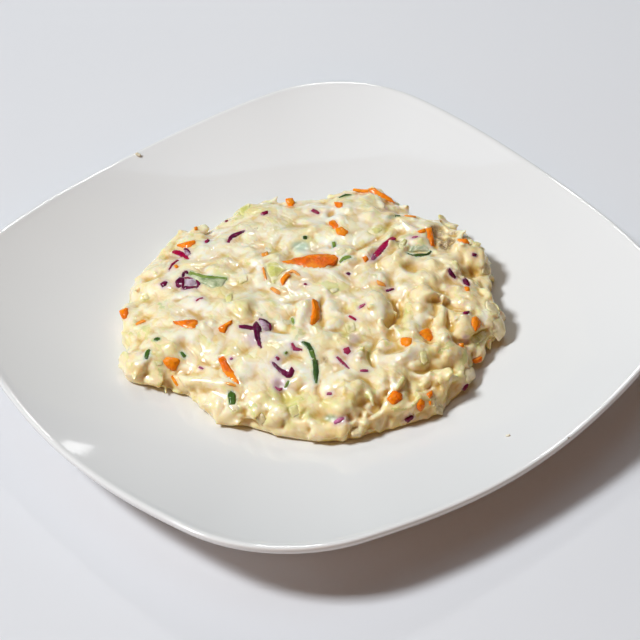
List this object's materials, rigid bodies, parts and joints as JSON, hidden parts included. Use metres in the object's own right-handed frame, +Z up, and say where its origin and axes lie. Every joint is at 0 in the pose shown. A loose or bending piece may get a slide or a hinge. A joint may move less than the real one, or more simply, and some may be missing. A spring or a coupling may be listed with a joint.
{
  "type": "coleslaw on a plate",
  "caption": "Creamy chopped coleslaw in a low uneven heap on a soft-square white dinner plate that rests on a foot ring.",
  "frame": {"origin": "on the table under the middle of the plate", "axes": "+Z up, +X and +Y towards the middles of two neighbouring sides of the plate"},
  "size_m": [0.26, 0.26, 0.0307],
  "materials": {
    "plate_glaze": "smooth white glaze",
    "dressed_coleslaw": "wet creamy dressing over pale cabbage, with carrot, red cabbage and green pieces"
  },
  "bodies": {
    "root": {"plate": "plate_glaze", "coleslaw": "dressed_coleslaw"}
  },
  "joints": []
}
